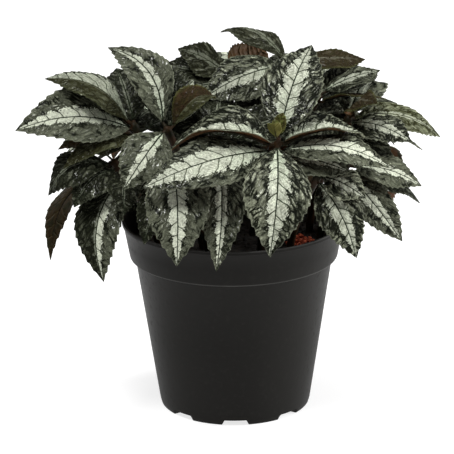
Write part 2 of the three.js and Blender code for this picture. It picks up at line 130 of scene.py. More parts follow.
class Finish:
    def __init__(self, name, colour, roughness):
        self.material = bpy.data.materials.new(name)
        self.material.use_nodes = True
        self.tree = self.material.node_tree
        self.shader = self.tree.nodes["Principled BSDF"]
        self.shader.inputs["Base Color"].default_value = (*colour, 1)
        self.shader.inputs["Roughness"].default_value = roughness

    def plug(self, socket, value):
        if isinstance(value, Value):
            self.tree.links.new(value.socket, socket)
        elif isinstance(value, tuple) and len(value) == 3 and socket.type == "RGBA":
            socket.default_value = (*value, 1)
        else:
            socket.default_value = value

    def maths(self, operation, first, second=0.0):
        return self.node("ShaderNodeMath", {"operation": operation}, {0: first, 1: second})

    def node(self, kind, settings, inputs, output=0):
        made = self.tree.nodes.new(kind)
        for key, setting in settings.items():
            setattr(made, key, setting)
        for key, value in inputs.items():
            self.plug(made.inputs[key], value)
        return Value(self, made.outputs[output])

    def parts(self, kind, value, count):
        return [self.node(kind, {}, {0: value}, k) for k in range(count)]

    def feed(self, name, value):
        self.plug(self.shader.inputs[name], value)

    def blend(self, share, low, high):
        inputs = {"Factor": share, MIX_LOW: low, MIX_HIGH: high}
        return self.node("ShaderNodeMix", {"data_type": "RGBA"}, inputs, MIX_RESULT)

    def bump(self, height, distance):
        inputs = {"Height": height, "Distance": distance, "Strength": 1.0}
        self.feed("Normal", self.node("ShaderNodeBump", {}, inputs))

    def noise(self, vector, scale, detail):
        inputs = {"Vector": vector, "Scale": scale, "Detail": detail}
        return self.node("ShaderNodeTexNoise", {}, inputs)


print("shader maths ready")

# %% [markdown]
# ## The maps of a leaf
# An image of a leaf would need a scan. Here each leaf has two maps instead: "leaf" says how far
# along and across a point lies, and "skin" is the flat blade in centimetres, so veins keep their
# real spacing on large and small leaves. Five numbers for each half of a leaf set how wide and
# bright its silver band is, how bright its pillows are, how young it is and how calm. Side veins
# leave the midrib at even steps, lean towards the tip and bend, and those of one side are shifted
# against those of the other.

# %% The maps of a leaf
VEIN_SPACING = 6.2
VEIN_LEAN = 0.45
VEIN_CURVE = 0.018
VEIN_SHIFT = 0.35
# veins are counted from here, so that the count stays above zero at the neck too
FIRST_VEIN = 25


def leaf_maps(finish):
    place = finish.node("ShaderNodeUVMap", {"uv_map": "leaf"}, {})
    skin = finish.node("ShaderNodeUVMap", {"uv_map": "skin"}, {})
    along, across = finish.parts("ShaderNodeSeparateXYZ", place, 2)
    x, y = finish.parts("ShaderNodeSeparateXYZ", skin, 2)
    look = finish.node("ShaderNodeAttribute", {"attribute_name": "look"}, {})
    band, silver, pillow = finish.parts("ShaderNodeSeparateColor", look, 3)
    young = finish.node("ShaderNodeAttribute", {"attribute_name": "look"}, {}, "Alpha")
    calm = finish.node("ShaderNodeAttribute", {"attribute_name": "calm"}, {}, "Fac")
    return SimpleNamespace(
        skin=skin, along=along, out=abs(across * 2 - 1), x=x * 10, y=y * 10,
        band=band, silver=silver, pillow=pillow, young=young, calm=calm,
    )


def side_veins(leaf):
    out = abs(leaf.y)
    bent = leaf.x - out * VEIN_LEAN - out * out * VEIN_CURVE
    return bent / VEIN_SPACING + leaf.y.smooth(-0.01, 0.01) * VEIN_SHIFT + FIRST_VEIN


def to_edge(phase, length):
    return (0.5 - abs(phase - 0.5)) * length


print("side veins every", VEIN_SPACING, "mm")

# %% [markdown]
# ## Pillows and grooves
# Between its veins the leaf is quilted into small pillows. A pattern of irregular cells makes
# them, and it is counted along and across the side veins, so no pillow crosses a vein. The nearest
# vein or cell edge is the groove that a pillow swells from. Each cell also draws a chance, which
# later makes some pillows pale and leaves others dark.

# %% Pillows and grooves
PILLOW_LENGTH = 3.6


def quilt(finish, leaf):
    veins = side_veins(leaf)
    leaf.to_vein = to_edge(veins.fraction(), VEIN_SPACING)
    place = finish.node("ShaderNodeCombineXYZ", {}, {"X": veins * 2, "Y": leaf.y / PILLOW_LENGTH})
    cells = {"Vector": place, "Scale": 1.0, "Randomness": 0.85}
    leaf.chance = finish.node("ShaderNodeTexVoronoi", {}, cells, "Color")
    to_cell = finish.node("ShaderNodeTexVoronoi", {"feature": "DISTANCE_TO_EDGE"}, cells)
    to_groove = finish.maths("MINIMUM", leaf.to_vein, to_cell * PILLOW_LENGTH)
    leaf.swell = (to_groove + (leaf.fine - 0.5) * 1.2).smooth(0.0, 1.1)
    leaf.groove = 1 - (to_groove + (leaf.fine - 0.5) * 0.5).smooth(0.05, 0.45)


print("pillows about", PILLOW_LENGTH, "mm long")

# %% [markdown]
# ## The silver band
# The band follows the midrib. Its edge bulges between the side veins and is ragged, from fine
# noise and from the cells. Its silver is greener near the neck and duller in patches.

# %% The silver band
DULL_SILVER = (0.062, 0.07, 0.048)
SILVER = (0.7, 0.73, 0.59)
GREEN_SILVER = (0.5, 0.6, 0.42)


def find_band(leaf):
    lobe = leaf.to_vein.smooth(0.0, 2.0)
    ragged = (leaf.fine - 0.5) * 0.5 + (leaf.chance - 0.5) * 0.08 + (leaf.broad - 0.5) * 0.4
    leaf.edge = leaf.band * (0.86 + lobe * 0.24) + ragged * leaf.band.smooth(0.0, 0.5)
    leaf.inside = (leaf.edge - leaf.out).smooth(-0.015, 0.03)


def silver_colour(finish, leaf):
    greener = (1 - leaf.along.smooth(0.0, 0.5)) * 0.5 + (leaf.broad - 0.5)
    clear = finish.blend(greener, SILVER, GREEN_SILVER)
    share = leaf.silver * (leaf.fine * 1.7 - 0.05 + (leaf.broad - 0.5) * 0.9)
    return finish.blend(share, DULL_SILVER, clear)


print("silver from", DULL_SILVER, "to", SILVER)

# %% [markdown]
# ## The quilted margin
# Outside the band the blade is dark grey-green. The grooves are nearly black: dark vein lines with
# painted shade of the creases. The swelling pillow tops are paler, a painted highlight. In calm
# patches the quilting fades to an even tone. Silver specks gather near the band. On quilted leaves
# specks on the pillow tops are painted glints, and the very rim is a little paler.

# %% The quilted margin
# near black, for the painted shade in the grooves
GROOVE_SHADE_GREEN = (0.004, 0.005, 0.0025)
LEAF_GREEN = (0.011, 0.014, 0.006)
PILLOW_GREY = (0.4, 0.425, 0.3)


def margin_colour(finish, leaf, silver):
    beyond = (leaf.out - leaf.edge).smooth(0.0, 0.3)
    patch = (leaf.broad + (leaf.chance - 0.5) * 0.2 + leaf.calm * 0.35).smooth(0.55, 0.75)
    # painted light: the pillows get paler towards their swelling tops, a painted highlight
    quilt_light_and_shade = leaf.swell * leaf.swell * (0.1 + leaf.chance * 1.2) * (leaf.fine * 3.6 - 0.8)
    even = (leaf.fine + leaf.broad) * 0.6 + leaf.chance * 0.15 - 0.23
    tone = leaf.pillow * (quilt_light_and_shade + (even - quilt_light_and_shade) * patch) * (0.55 + beyond * 0.45)
    margin = finish.blend(tone, LEAF_GREEN, PILLOW_GREY)
    # painted shade: the grooves are pulled nearly black, shade of the creases over the vein colour
    margin = finish.blend(leaf.groove * (0.95 - patch * 0.55), margin, GROOVE_SHADE_GREEN)
    near_band = (leaf.edge + 0.36 - leaf.out).smooth(0.0, 0.34)
    specks = finish.noise(leaf.skin, 11.0, 2.0).smooth(0.56, 0.64)
    # painted glints: on quilted leaves, specks away from the band brighten the pillow tops
    specks = specks * (near_band + (1 - leaf.calm) * 0.4)
    margin = finish.blend(specks * leaf.swell * 0.9, margin, silver)
    rim = leaf.out.smooth(0.93, 1.0) * 0.35
    return finish.blend(rim * leaf.pillow, margin, PILLOW_GREY)


print("margin from", GROOVE_SHADE_GREEN, "to", PILLOW_GREY)

# %% [markdown]
# ## The leaf's upper skin
# The whole skin lays the veined band over the margin and the dark midrib over both. Young leaves
# are olive or rust instead, with a yellow-green edge. The pillows have a thin glossy coat, because
# such leaves glint where they swell, and a bump gives the small relief that the mesh leaves out.

# %% The leaf's upper skin
VEIN_GREEN = (0.04, 0.05, 0.026)
MIDRIB_GREEN = (0.012, 0.018, 0.008)
RUST = (0.045, 0.015, 0.006)
OLIVE = (0.085, 0.095, 0.022)
YOUNG_EDGE = (0.15, 0.16, 0.04)
DEEP_GREEN = (0.014, 0.017, 0.006)

leaf_top = Finish("silver_banded_leaf", (0.1, 0.12, 0.1), 0.4)


def young_colour(finish, leaf):
    share = leaf.pillow * (0.6 + leaf.swell * 0.5) + (leaf.broad - 0.5) * 0.8
    fresh = finish.blend(share, RUST, OLIVE)
    fresh = finish.blend(leaf.out.smooth(0.82, 1.0) * 0.6, fresh, YOUNG_EDGE)
    return finish.blend(leaf.silver * (1 - leaf.groove * 0.5), DEEP_GREEN, fresh)


def paint_leaf_top(finish):
    leaf = leaf_maps(finish)
    leaf.fine = finish.noise(leaf.skin, 13.0, 3.0)
    leaf.broad = finish.noise(leaf.skin, 2.6, 2.0)
    quilt(finish, leaf)
    find_band(leaf)
    silver = silver_colour(finish, leaf)
    margin = margin_colour(finish, leaf, silver)
    vein = (1 - leaf.to_vein.smooth(0.06, 0.42)) * (1 - leaf.broad * 0.4)
    net = vein * 0.85 + leaf.groove * (1 - leaf.calm) * 0.45
    blade = finish.blend(leaf.inside, margin, finish.blend(net, silver, VEIN_GREEN))
    midrib = 1 - (abs(leaf.y) - (0.35 - leaf.along * 0.25)).smooth(0.0, 0.22)
    blade = finish.blend(midrib, blade, MIDRIB_GREEN)
    fresh = leaf.young * (0.8 + leaf.broad * 0.4)
    finish.feed("Base Color", finish.blend(fresh, blade, young_colour(finish, leaf)))
    finish.feed("Roughness", 0.4 + (1 - leaf.swell) * 0.35 + leaf.fine * 0.12)
    coat = leaf.swell * (1 - leaf.inside * 0.6) * leaf.fine.smooth(0.48, 0.66)
    finish.feed("Coat Weight", coat)
    relief = leaf.swell * (1 - leaf.inside * 0.75) + leaf.fine * 0.5
    finish.bump(relief - vein * leaf.inside * 0.5, 0.0011)


paint_leaf_top(leaf_top)
leaf_top.shader.inputs["Specular IOR Level"].default_value = 0.07
leaf_top.shader.inputs["Coat Roughness"].default_value = 0.22
print("nodes in the upper skin:", len(leaf_top.tree.nodes))

# %% [markdown]
# ## The leaf's underside and the stalks
# Underneath the leaf is matt, from olive to rust, with paler veins that stand proud. The stalks
# and stems are fleshy and brown-green. Both take the same maps and need no silver.

# %% The underside and the stalks
leaf_under = Finish("leaf_underside", (0.12, 0.07, 0.03), 0.6)


def paint_leaf_under(finish):
    leaf = leaf_maps(finish)
    to_vein = to_edge(side_veins(leaf).fraction(), VEIN_SPACING)
    broad = finish.noise(leaf.skin, 2.2, 3.0)
    fine = finish.noise(leaf.skin, 15.0, 2.0)
    share = broad.smooth(0.3, 0.6) * leaf.silver * 1.3
    rust = finish.blend(share, (0.014, 0.017, 0.007), (0.1, 0.04, 0.014))
    veined = finish.blend((1 - to_vein.smooth(0.1, 0.6)) * 0.4, rust, (0.09, 0.075, 0.03))
    fresh = finish.blend(leaf.pillow, (0.07, 0.023, 0.01), (0.12, 0.13, 0.03))
    finish.feed("Base Color", finish.blend(leaf.young * 0.8, veined, fresh))
    finish.bump((1 - to_vein.smooth(0.0, 0.8)) * 0.8 + fine * 0.3, 0.0006)


paint_leaf_under(leaf_under)
leaf_under.shader.inputs["Specular IOR Level"].default_value = 0.15
stalk_skin = Finish("stalk_skin", (0.02, 0.012, 0.005), 0.5)


def paint_stalk(finish):
    place = finish.node("ShaderNodeTexCoord", {}, {}, "Object")
    patches = finish.noise(place, 160.0, 3.0)
    skin = finish.blend(patches.smooth(0.35, 0.65), (0.008, 0.009, 0.004), (0.024, 0.012, 0.005))
    finish.feed("Base Color", skin)
    finish.bump(patches, 0.0004)


paint_stalk(stalk_skin)
stalk_skin.shader.inputs["Specular IOR Level"].default_value = 0.08
print("underside and stalk skin ready")

# %% [markdown]
# ## Where every leaf grows
# These tables are the plant's plan, the same as in the solid model, in millimetres. Each stem has
# a root, a growing tip and leaves. A leaf has its place on the stem, its tip, the way its upper
# side looks, its width, the bow of its midrib, how its halves fold, and its look, and some also
# have a cup near the neck and a sideways sway. Two looks joined by a plus belong to its two
# halves. Drawn leaves have a compass angle, a rise and a place on the stem, and the rest comes
# from seeded draws.

# %% The plan of the plant
SOIL_TOP = 92
STEM_RADIUS = 2.1
STEM_DEPTH = 14
STALK_LENGTH = 4.5
STALK_RADIUS = 1.1
BLADE_THICKNESS = 0.9
TOOTH_PROUD = 1.1
TOOTH_PLACE = 0.72
EDGE_WAVE = 1.2
SMALL_LEAF_WIDTH = 12
SWING_STEP = 4
SWING_RINGS = 9
SWING_WAYS = 8
LEAF_SEED = 100
# band width, band brightness, pillow brightness, youth, calm
LOOKS = {
    "bright": (0.5, 0.9, 0.5, 0.0, 0.45),
    "silvery": (0.85, 0.5, 0.9, 0.0, 0.0),
    "frosted": (0.12, 0.5, 0.75, 0.0, 0.35),
    "banded": (0.3, 0.9, 0.6, 0.0, 0.6),
    "narrow": (0.24, 0.7, 0.4, 0.0, 0.4),
    "dull": (0.32, 0.5, 0.45, 0.03, 0.4),
    "pale": (0.25, 0.75, 0.6, 0.0, 0.7),
    "mottled": (0.28, 0.9, 1.3, 0.0, 0.38),
    "speckled": (0.36, 0.7, 0.8, 0.0, 0.1),
    "patchy": (0.2, 0.2, 0.3, 0.35, 0.2),
    "bronze": (0.15, 0.8, 1.1, 0.45, 0.4),
    # painted shade: leaves deep in the plant or under others take this darker look
    "dark": (0.1, 0.2, 0.2, 0.1, 0.1),
    "olive": (0.12, 0.35, 0.7, 0.75, 0.3),
    "brown": (0.1, 0.6, 0.15, 0.75, 0.2),
    "rusty": (0.08, 0.55, 0.1, 1.0, 1.0),
    "green": (0.1, 1.0, 0.9, 1.0, 1.0),
}
STEMS = (
    ("front", (14, -22), (23, -52, 160), (
        (1.0, (18, -92, 112), (0, -1, 0.4), 34, 0.16, -0.12, "speckled+mottled"),
        (1.0, (42, -5, 200), (-0.1, -1, 0.8), 31, 0.08, 0.05, "speckled"),
        (0.99, (-33, -38, 152), (0, -0.1, 1), 30, 0.2, 0.22, "speckled", 0.5),
        (0.99, (67, -34, 160), (0, -0.1, 1), 28, 0.1, 0.18, "speckled", 0.6),
        (0.9, (-46, -76, 144), (0, -0.8, 1), 30, 0.12, -0.12, "bright"),
        (0.9, (80, -60, 149), (0, -0.4, 1), 24, 0.12, -0.12, "bright+banded"),
        (0.82, (60, -58, 146), (0, -0.8, 1), 20, 0.08, -0.05, "pale"),
        (1.0, (21, -60, 173), (0, 0.6, 1), 7, 0.1, 0.5, "green"),
        (1.0, (26, -47, 175), (0, -0.8, 1), 7, 0.1, 0.5, "green"),
    ), ()),
    ("front_left", (-12, -34), (-31, -44, 150), (
        (1.0, (-29, -88, 106), (0, -1, 0.5), 32, 0.15, -0.1, "banded"),
        (0.8, (-46, -70, 112), (-0.3, -1, 0.5), 20, 0.12, -0.1, "dark"),
    ), ()),
    ("left_front", (-16, -16), (-34, -34, 163), (
        (1.0, (-54, -57, 134), (-0.2, -1, 0.5), 27, 0.15, -0.1, "pale"),
        (1.0, (-65, -6, 200), (0, -1, 0.8), 22, 0.1, 0.05, "pale", 0, 0.17),
        (0.98, (-9, -14, 174), (0.2, -0.5, 1), 15, 0.35, 0.4, "rusty+olive"),
        (0.93, (-35, 4, 191), (0, -0.8, 1), 26, 0.12, -0.1, "dark"),
        (0.97, (-20, 10, 178), (0, -1, 0.7), 22, 0.12, -0.05, "dull"),
    ), ()),
    ("left", (-32, -2), (-52, -8, 158), (
        (1.0, (-98, -12, 185), (0, -0.3, 1), 27, 0.2, -0.1, "olive+silvery"),
        (0.95, (-113, -30, 162), (0, -0.9, 1), 33, 0.12, 0.12, "pale+banded"),
        (0.88, (-93, 0, 143), (0, 0.8, 0.6), 21, 0.2, -0.1, "dark"),
        (0.86, (-86, -38, 147), (0, -0.6, 1), 15, 0.2, -0.1, "olive"),
        (0.97, (-62, 20, 182), (0, -1, 0.7), 26, 0.12, -0.05, "dark"),
        (0.92, (-12, 4, 164), (0, -0.8, 1), 25, 0.12, -0.1, "dark"),
    ), ((130, -10, 0.9), (165, -35, 0.84), (195, -50, 0.76))),
    ("low_left", (-38, -18), (-62, -22, 142), (
        (0.95, (-98, -15, 86), (-0.8, 0.75, 0.45), 21, 0.22, -0.1, "dark"),
        (0.85, (-68, -52, 86), (-0.3, -1, 0.2), 25, 0.12, -0.1, "banded+dark", 0, 0.12),
        (1.0, (-97, -28, 126), (-0.3, -0.6, 1), 25, 0.32, -0.15, "dark"),
        (0.92, (-80, -48, 130), (0, -0.8, 1), 20, 0.2, -0.1, "dark"),
        (0.8, (-56, -60, 125), (0.2, -1, 0.6), 17, 0.12, -0.1, "dark"),
        (1.0, (-79, -16, 154), (0, -0.6, 1), 14, 0.2, -0.1, "olive"),
    ), ((150, -40, 0.86),)),
    ("low_right", (28, -30), (44, -44, 140), (
        (0.95, (63, -68, 103), (0.3, -1, 0.4), 24, 0.12, -0.1, "speckled"),
        (1.0, (68, -58, 132), (0.2, -0.8, 1), 20, 0.14, -0.1, "mottled"),
    ), ()),
    ("right_front", (45, -3), (60, -18, 138), (
        (0.9, (88, -44, 104), (0.5, -1, 0.5), 23, 0.12, -0.1, "banded"),
        (1.0, (99, -24, 128), (0.1, -0.5, 1), 22, 0.14, -0.1, "pale"),
        (0.86, (100, 0, 111), (0.6, -0.2, 1), 19, 0.14, -0.1, "dark"),
    ), ((60, -35, 0.84),)),
    ("right", (40, 10), (62, 6, 157), (
        (1.0, (112, 20, 142), (0, -0.4, 1), 26, 0.15, -0.1, "bronze"),
        (0.88, (100, 14, 129), (0.7, 0.6, 0.6), 22, 0.15, -0.1, "olive"),
        (1.0, (76, -20, 172), (-0.3, -0.4, 1), 17, 0.2, -0.1, "brown"),
        (0.94, (94, -16, 150), (0, -0.5, 1), 24, 0.15, -0.1, "speckled"),
        (0.82, (86, -14, 138), (0, -0.8, 1), 24, 0.12, -0.1, "dark"),
        (0.9, (20, -22, 151), (0, -0.8, 1), 26, 0.12, -0.1, "dark"),
    ), ((75, 0, 0.97), (45, -40, 0.84), (5, -50, 0.78))),
    ("top_right", (22, 14), (46, 12, 168), (
        (1.0, (79, 14, 181), (0, -0.3, 1), 18, 0.1, -0.1, "dull"),
        (0.93, (78, 0, 177), (0, 0.3, 1), 20, 0.1, -0.1, "brown"),
        (0.96, (84, 40, 164), (0, -0.4, 1), 24, 0.15, -0.1, "dark"),
        (0.9, (20, -14, 160), (0, -0.8, 1), 22, 0.12, -0.1, "dark"),
    ), ((80, 0, 1.0), (115, -15, 0.9), (10, -25, 0.8))),
    ("top", (10, 6), (31, 20, 184), (
        (1.0, (-6, 54, 193), (0, 0.2, 1), 29, 0.19, -0.2, "patchy"),
        (0.98, (-16, 3, 169), (0, -0.8, 1), 29, 0.12, -0.1, "dull+frosted"),
        (1.0, (73, 32, 177), (0, -0.4, 1), 19, 0.06, -0.1, "brown"),
        (0.92, (38, 72, 174), (0, 0.3, 1), 26, 0.1, -0.1, "banded"),
    ), ((95, -30, 0.78),)),
    ("top_left", (-8, 14), (0, 32, 172), (
        (1.0, (-29, 34, 189), (0, -0.4, 1), 26, 0.08, -0.1, "patchy"),
        (0.96, (-36, 0, 164), (0, -0.6, 1), 24, 0.15, -0.1, "dark"),
        (0.94, (19, 52, 188), (0, 1, -0.2), 28, 0.06, -0.1, "brown"),
        (0.93, (-37, 36, 179), (0, -0.8, 1), 24, 0.12, -0.1, "dark"),
        (1.0, (2, 80, 170), (0, 0.3, 1), 26, 0.2, -0.1, "banded"),
        (0.85, (24, 6, 170), (0, -1, 0.8), 28, 0.1, -0.1, "dark"),
    ), ((150, -10, 0.92), (185, -15, 0.78))),
    ("middle", (0, -8), (-8, -28, 150), (
        (1.0, (-9, -84, 102), (0.1, -1, 0.3), 23, 0.1, -0.05, "narrow+banded"),
        (0.9, (18, -66, 116), (0.4, -1, 0.5), 22, 0.1, -0.1, "dark"),
        (1.0, (-8, 16, 166), (0, -1, 1), 22, 0.15, -0.1, "dark"),
        (0.95, (34, -6, 156), (0, -1, 1), 24, 0.15, -0.1, "dark"),
    ), ()),
    ("back_left", (-24, 20), (-40, 35, 150), (
        (1.0, (-50, 2, 158), (0, -1, 1), 28, 0.1, -0.1, "dark"),
        (0.8, (-14, 8, 138), (0, -1, 0.6), 26, 0.1, -0.1, "dark"),
        (0.62, (-56, -2, 108), (0, -1, 0.6), 26, 0.1, -0.1, "dark"),
    ), (
        (150, 5, 1.0), (95, 0, 1.0), (190, -15, 0.95), (125, -35, 0.88), (165, -45, 0.84),
        (60, -15, 0.92), (105, -60, 0.78),
    )),
    ("back", (0, 36), (2, 43, 146), (
        (0.9, (4, 86, 98), (0, 1, 0.5), 30, 0.12, -0.1, "banded"),
    ), ((85, -30, 1.0), (140, -15, 0.95), (35, -15, 0.95), (60, -48, 0.86), (130, -48, 0.84))),
    ("back_right", (26, 34), (46, 36, 146), (
    ), (
        (45, -5, 1.0), (95, -10, 1.0), (10, -10, 0.95), (65, -45, 0.88), (20, -45, 0.84),
        (100, -55, 0.8),
    )),
)
print("stems:", len(STEMS), "hand-set leaves:", sum(len(stem[3]) for stem in STEMS))

# %% [markdown]
# ## Stems and leaves from formulas
# A stem is a curve with four control points. A leaf's blade is a formula too: how far along, how
# far out from the midrib, and from that its bow, its fold and the waves of its edge. The solid
# model swings a leaf aside where it would cut a neighbour. Which way each leaf went is found
# again here by trying the same swings in the same order, until the corners of the leaf lie on
# corners of the solid.

# %% Draws, curves and the places of leaves
def draws_from(seed):
    state = seed
    while True:
        state = (state * 1664525 + 1013904223) % 4294967296
        yield state / 4294967296


def unit(vector):
    return vector / np.linalg.norm(vector)


def stem_curve(root, apex):
    foot = np.array([root[0], root[1], SOIL_TOP - STEM_DEPTH], float)
    top = np.array(apex, float)
    above = foot + [0, 0, 0.45 * (top[2] - foot[2])]
    below = top + 0.35 * (above - top)

    def at(share):
        rest = 1 - share
        near = foot * rest ** 3 + above * 3 * rest ** 2 * share
        return near + below * 3 * rest * share ** 2 + top * share ** 3

    return at


def heading(turn, lift):
    level = math.cos(lift)
    return np.array([math.cos(turn) * level, math.sin(turn) * level, math.sin(lift)])


LEAF_COLUMNS = ("at", "tip", "face", "width", "bow", "fold", "look", "cup", "sway")
PLAIN_LEAF = {"look": None, "cup": 0, "sway": None}


def leaf_rows(number, curve, leaves, around):
    draw = draws_from(LEAF_SEED + number)
    rows = [dict(PLAIN_LEAF, **dict(zip(LEAF_COLUMNS, leaf))) for leaf in leaves]
    for compass, rise, at in around:
        turn = math.radians(compass + 16 * (next(draw) - 0.5))
        lift = math.radians(rise + 12 * (next(draw) - 0.5))
        length = STALK_LENGTH + 50 + 14 * next(draw)
        width = 0.44 * length + 5 * next(draw)
        bow = 0.12 + 0.1 * next(draw)
        tip = curve(at) + heading(turn, lift) * length
        face = (0.7 * math.cos(turn), 0.7 * math.sin(turn), 1)
        rows.append(dict(PLAIN_LEAF, at=at, tip=tip, face=face, width=width, bow=bow, fold=-0.1))
    for row in rows:
        drawn_sway = 0.12 * (next(draw) - 0.5)
        row["sway"] = drawn_sway if row["sway"] is None else row["sway"]
        row["phase"] = 2 * math.pi * next(draw)
    return rows


def swing_tries():
    yield 0, 0
    for ring in range(1, SWING_RINGS + 1):
        for way in range(SWING_WAYS):
            turn = 2 * math.pi * way / SWING_WAYS
            yield ring * SWING_STEP * math.cos(turn), ring * SWING_STEP * math.sin(turn)


def leaf_place(row, curve, swing, lift_by):
    root = curve(row["at"])
    reach = np.array(row["tip"], float) - root
    length = np.linalg.norm(reach)
    level = math.atan2(reach[1], reach[0]) + math.radians(swing)
    lift = math.asin(reach[2] / length) + math.radians(lift_by)
    way = heading(level, lift)
    neck = min(STALK_LENGTH, 0.25 * length)
    base = root + way * 0.9 * neck + [0, 0, 0.3 * neck]
    blade = np.linalg.norm(root + way * length - base)
    along = unit(root + way * length - base)
    face = np.array(row["face"], float)
    up = unit(face - along * face.dot(along))
    side = np.cross(along, up)
    return dict(row, root=root, base=base, blade=blade, along=along, up=up, side=side)


def half_width(width, u):
    return 0.5 * width * 4.12 * u ** 0.92 * (1 - u) ** 1.14


def blade_points(place, u, v):
    u, v = np.broadcast_arrays(np.asarray(u, float), np.asarray(v, float))
    lift = 4 * place["bow"] * u * (1 - u)
    slope = 4 * place["bow"] * (1 - 2 * u)
    normal = place["up"] - slope[..., None] * place["along"]
    normal /= np.linalg.norm(normal, axis=-1, keepdims=True)
    wave = np.sin(9 * u + place["phase"] + np.where(v > 0, 2, 0)) * (2 * v / place["width"]) ** 2
    sideways = v + 4 * place["sway"] * place["blade"] * u * (1 - u)
    points = place["base"] + (place["blade"] * u)[..., None] * place["along"]
    points = points + (place["blade"] * lift)[..., None] * place["up"]
    points = points + sideways[..., None] * place["side"]
    rise = (place["fold"] + place["cup"] * (1 - u) ** 2) * np.abs(v) + EDGE_WAVE * wave
    return points + rise[..., None] * normal, normal


print("first draw of the first stem:", round(next(draws_from(LEAF_SEED)), 4))

# %% [markdown]
# The corners that are tried are the leaf's tip and one tooth on each side, on both of its faces.

# %% Which way each leaf was swung
CORNER_SLACK = 0.05
CORNERS_NEEDED = 4
SEGMENTS = 6
DRAWN_SEGMENTS = 5
SMALL_SEGMENTS = 4


def solid_corners(place, drawn):
    segments = DRAWN_SEGMENTS if drawn else SEGMENTS
    if place["width"] < SMALL_LEAF_WIDTH:
        segments = SMALL_SEGMENTS
    tooth = (1 + TOOTH_PLACE) / segments
    out = half_width(place["width"], tooth) + TOOTH_PROUD
    points, normals = blade_points(place, [1, tooth, tooth], [0, out, -out])
    half = 0.5 * BLADE_THICKNESS
    return np.concatenate([points + half * normals, points - half * normals])


def found_place(row, curve, tree):
    for swing in swing_tries():
        place = leaf_place(row, curve, *swing)
        corners = solid_corners(place, row["look"] is None)
        near = sum(tree.find(Vector(corner) * MM)[2] < CORNER_SLACK * MM for corner in corners)
        if near >= CORNERS_NEEDED:
            return place
    return None


def corner_tree(node):
    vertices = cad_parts[node].data.vertices
    tree = kdtree.KDTree(len(vertices))
    for vertex in vertices:
        tree.insert(vertex.co, vertex.index)
    tree.balance()
    return tree


def grown_stems():
    stems = []
    for number, (name, root, apex, leaves, around) in enumerate(STEMS):
        curve = stem_curve(root, apex)
        tree = corner_tree("leafy_stem_" + name)
        rows = leaf_rows(number, curve, leaves, around)
        places = [found_place(row, curve, tree) for row in rows]
        stems.append((name, curve, [place for place in places if place]))
        print(name, "leaves:", len(stems[-1][2]), "of", len(rows))
    return stems


stems = grown_stems()
print("leaves in all:", sum(len(places) for _, _, places in stems))

# %% [markdown]
# ## A blade from a grid
# A flat grid bends into a blade when each of its points is sent through the leaf's formula. A
# finer outline needs rows where the teeth are, so the rows follow the teeth: each tooth climbs
# slowly and drops back at once, and leans towards the tip. Between the side veins the blade
# bulges into soft pillows and along the midrib it has a channel. Solidify then gives it a lower
# face and an edge, and the lower face takes the underside's material.

# %% A blade from a grid
TEETH = 14
SMALL_TEETH = 7
TOOTH_ROWS = ((0.0, 0.0), (0.36, 0.4), (0.7, 1.0), (0.88, 0.45))
TOOTH_DEPTH = 0.85
TOOTH_LEAN = 0.6
TOOTH_REACH = 6
FULL_WIDTH = 26
COLUMNS = 14
SMALL_COLUMNS = 5
COLUMN_CROWDING = 1.1
VISIBLE_THICKNESS = 0.5
PILLOW_RISE = 0.8
ROW_STAGGER = 0.37
CHANNEL_DEPTH = 0.5
CHANNEL_WIDTH = 1.0
VEIN_CROWDING = 0.35


def fullness(place):
    return min(1, place["width"] / FULL_WIDTH)


def tooth_rows(teeth):
    rows = []
    for tooth in range(teeth):
        rows += [((tooth + place) / teeth, rise) for place, rise in TOOTH_ROWS]
    return np.array(rows + [(1.0, 0.0)]).T


def wandering(x, y, phase):
    calm = np.minimum(1, np.abs(y) / 5)
    sway = 0.6 * np.sin(0.3 * y + 0.4 * x + phase) + 0.25 * np.sin(0.9 * y - 0.9 * x + 2.1 * phase)
    return x + sway * calm, y + 0.6 * np.sin(0.75 * x + 0.4 * y + 1.7 * phase) * calm


def pillows(x, y, out):
    reach = np.abs(y)
    bent = x - reach * VEIN_LEAN - reach ** 2 * VEIN_CURVE
    row = 2 * bent / VEIN_SPACING + np.where(y > 0, 2 * VEIN_SHIFT, 0) + 2 * FIRST_VEIN
    column = reach / PILLOW_LENGTH + ROW_STAGGER * np.floor(row)
    swell = (1 - np.abs(2 * (row % 1) - 1) ** 3) * (1 - 0.8 * np.abs(2 * (column % 1) - 1) ** 3)
    calm = np.clip(out * 2.4, 0.2, 1) * (1 - out ** 8)
    channel = CHANNEL_DEPTH * np.exp(-((y / CHANNEL_WIDTH) ** 2))
    return PILLOW_RISE * (swell - 0.75) * calm - channel


def blade_sheet(place, teeth, columns):
    u, rise = tooth_rows(teeth)
    spread = np.linspace(-1, 1, 2 * columns + 1)
    across = np.sign(spread) * np.abs(spread) ** COLUMN_CROWDING
    small = fullness(place)
    shape = np.maximum(half_width(place["width"], np.clip(u, 0, 1)), 0.02)
    shape[0] = STALK_RADIUS * small
    taper = np.clip(u / 0.15, 0, 1) * np.clip((1 - u) / 0.12, 0, 1)
    proud = TOOTH_DEPTH * small * rise * taper
    steep = np.abs(across)[None, :] ** TOOTH_REACH
    y = across[None, :] * shape[:, None] + np.sign(across) * steep * proud[:, None]
    forward = TOOTH_LEAN * small / place["blade"] * (rise * taper)[:, None] * steep
    lengthwise = np.minimum(u[:, None] + forward, 1)
    points, normals = blade_points(place, lengthwise, y)
    crowding = VEIN_CROWDING * np.sin(2 * math.pi * lengthwise) / (2 * math.pi)
    x = place["blade"] * (lengthwise + crowding)
    x, y = wandering(x, y, place["phase"])
    relief = pillows(x, y, np.abs(across)[None, :] + 0 * x) * small
    relief *= np.clip(shape / 3, 0, 1)[:, None]
    points = points + (relief + 0.5 * VISIBLE_THICKNESS)[..., None] * normals
    maps = np.stack([u[:, None] + 0 * y, 0.5 + 0.5 * across[None, :] + 0 * y, x / 10, y / 10], -1)
    return points, maps


